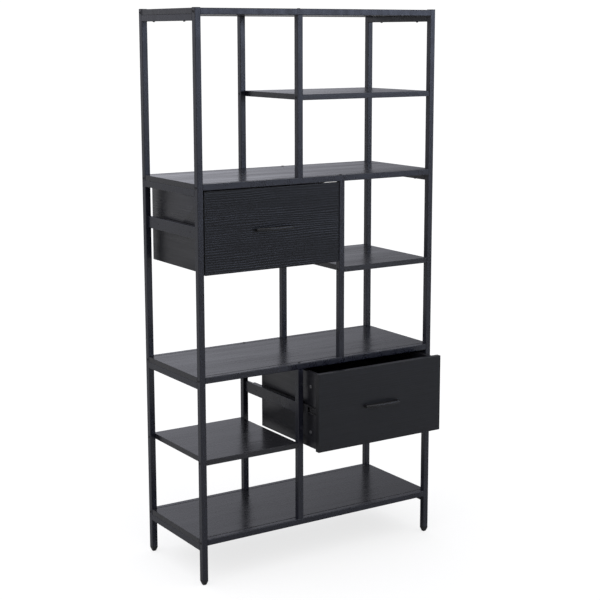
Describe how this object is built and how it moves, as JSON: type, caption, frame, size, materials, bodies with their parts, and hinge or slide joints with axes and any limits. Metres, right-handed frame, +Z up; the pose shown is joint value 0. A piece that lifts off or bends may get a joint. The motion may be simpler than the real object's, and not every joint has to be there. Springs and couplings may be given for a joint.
{
  "type": "bookcase with drawers",
  "caption": "Open bookcase: square steel tube frame, full-width boards, half-width shelves between divider posts and drawers on ball-bearing slides",
  "frame": {"origin": "on the floor, in the middle of the case's width, and half way between the front of the lower drawer's handle (drawer open 85 mm) and the back of the case; the feet's centre is 56 mm behind it", "axes": "+Z up, -Y the front with the drawers, +X to the right as seen from the front"},
  "size_m": [0.903, 0.482, 1.8],
  "materials": {
    "frame_steel": "satin black powder coat with a fine grain",
    "shelf_board": "black faced board, satin, fine grain along the width",
    "drawer_board": "black faced board, satin, pressed grain along the width",
    "drawer_bottom_board": "thin black faced board, satin",
    "plastic": "matt black",
    "handle_metal": "smooth black, semi-gloss",
    "slide_steel": "thin black coat over rolled steel",
    "black_bolts": "black, semi-gloss",
    "zinc_fittings": "bright zinc"
  },
  "bodies": {
    "frame": {"front_left_post": "frame_steel", "back_left_post": "frame_steel", "front_right_post": "frame_steel", "back_right_post": "frame_steel", "top_divider_front_post": "frame_steel", "top_divider_back_post": "frame_steel", "middle_divider_front_post": "frame_steel", "middle_divider_back_post": "frame_steel", "bottom_divider_front_post": "frame_steel", "bottom_divider_back_post": "frame_steel", "top_front_rail": "frame_steel", "top_back_rail": "frame_steel", "upper_front_rail": "frame_steel", "upper_back_rail": "frame_steel", "middle_front_rail": "frame_steel", "middle_back_rail": "frame_steel", "bottom_front_rail": "frame_steel", "bottom_back_rail": "frame_steel", "top_side_rails": "frame_steel", "upper_side_rails": "frame_steel", "middle_side_rails": "frame_steel", "bottom_side_rails": "frame_steel", "upper_left_slide_bar": "frame_steel", "upper_right_slide_bar": "frame_steel", "lower_left_slide_bar": "frame_steel", "lower_right_slide_bar": "frame_steel", "top_board": "shelf_board", "upper_board": "shelf_board", "middle_board": "shelf_board", "bottom_board": "shelf_board", "upper_small_shelf": "shelf_board", "middle_small_shelf": "shelf_board", "lower_small_shelf": "shelf_board", "post_caps": "plastic", "foot_plugs": "plastic", "rail_bolts": "black_bolts", "divider_bolts": "black_bolts", "small_shelf_bolts": "black_bolts", "board_screws": "black_bolts", "slide_bar_screws": "slide_steel", "upper_slide_outer_members": "slide_steel", "lower_slide_outer_members": "slide_steel"},
    "upper_drawer": {"upper_drawer_front": "drawer_board", "upper_drawer_left_side": "drawer_board", "upper_drawer_right_side": "drawer_board", "upper_drawer_back": "drawer_board", "upper_drawer_bottom": "drawer_bottom_board", "upper_drawer_handle": "handle_metal", "upper_drawer_fixings": "zinc_fittings", "upper_slide_inner_members": "slide_steel"},
    "upper_slide_middle": {"upper_slide_middle_members": "slide_steel"},
    "lower_drawer": {"lower_drawer_front": "drawer_board", "lower_drawer_left_side": "drawer_board", "lower_drawer_right_side": "drawer_board", "lower_drawer_back": "drawer_board", "lower_drawer_bottom": "drawer_bottom_board", "lower_drawer_handle": "handle_metal", "lower_drawer_fixings": "zinc_fittings", "lower_slide_inner_members": "slide_steel"},
    "lower_slide_middle": {"lower_slide_middle_members": "slide_steel"}
  },
  "joints": [
    {"name": "upper_drawer_slide", "type": "slide", "parent": "frame", "child": "upper_drawer", "axis": [0, -1, 0], "range_m": [0, 0.3]},
    {"name": "upper_slide_middle_travel", "type": "slide", "parent": "frame", "child": "upper_slide_middle", "axis": [0, -1, 0], "range_m": [0, 0.15]},
    {"name": "lower_drawer_slide", "type": "slide", "parent": "frame", "child": "lower_drawer", "axis": [0, -1, 0], "range_m": [-0.085, 0.215]},
    {"name": "lower_slide_middle_travel", "type": "slide", "parent": "frame", "child": "lower_slide_middle", "axis": [0, -1, 0], "range_m": [-0.0425, 0.1075]}
  ],
  "couplings": [
    {"joint": "upper_slide_middle_travel", "follows": "upper_drawer_slide", "ratio": 0.5},
    {"joint": "lower_slide_middle_travel", "follows": "lower_drawer_slide", "ratio": 0.5}
  ]
}
